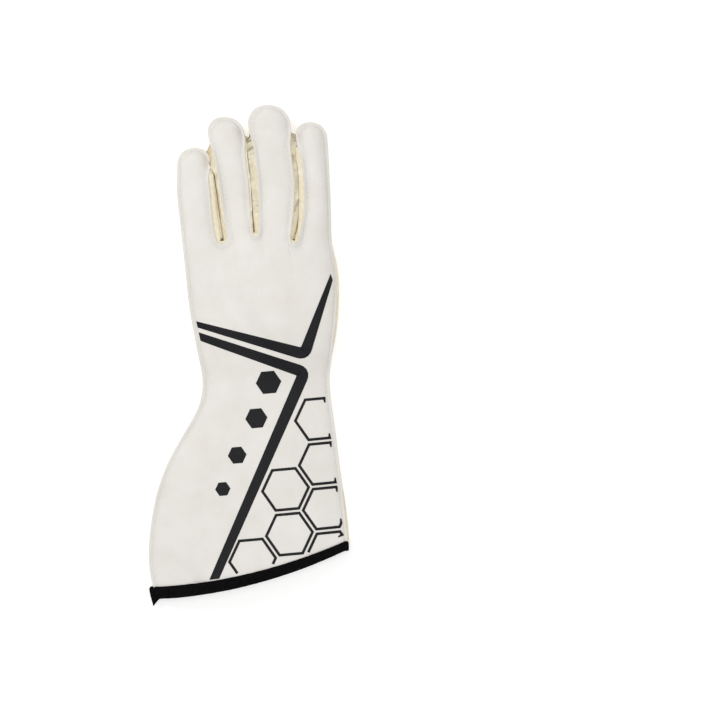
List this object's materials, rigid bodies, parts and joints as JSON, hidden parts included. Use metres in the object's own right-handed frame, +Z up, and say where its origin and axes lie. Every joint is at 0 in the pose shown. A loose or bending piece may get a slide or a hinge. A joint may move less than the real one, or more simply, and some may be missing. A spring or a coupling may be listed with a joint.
{
  "type": "racing glove",
  "caption": "Left-hand driving glove with a flared cuff, outside seams, black hem tape and printed stripes and honeycomb, lying on its palm with the thumb folded under.",
  "frame": {"origin": "middle of the glove's box in plan, on the surface that it lies on", "axes": "+Y from the hem to the fingertips, +X to the thumb side, +Z up through the back of the hand"},
  "size_m": [0.15, 0.3728, 0.0299],
  "materials": {
    "cloth": "fine white knitted fire-resistant cloth, matt, lightly creased",
    "suede": "cream suede, short nap, matt",
    "gusset": "beige knitted fourchette cloth, raw edges",
    "tape": "black ribbed elastic binding tape",
    "film": "matt black rubbery print on the cloth"
  },
  "bodies": {
    "root": {"back_panel": "cloth", "palm_panel": "suede", "gusset_little_ring": "gusset", "gusset_ring_middle": "gusset", "gusset_middle_index": "gusset", "thumb_inner": "suede", "thumb_outer": "cloth", "binding_back": "tape", "binding_palm": "tape", "stripe_upper": "film", "stripe_lower": "film", "honeycomb_cell_1": "film", "honeycomb_cell_2": "film", "honeycomb_cell_3": "film", "honeycomb_cell_4": "film", "honeycomb_cell_5": "film", "honeycomb_cell_6": "film", "honeycomb_cell_7": "film", "cuff_mark_1": "film", "cuff_mark_2": "film", "cuff_mark_3": "film", "cuff_mark_4": "film"}
  },
  "joints": []
}
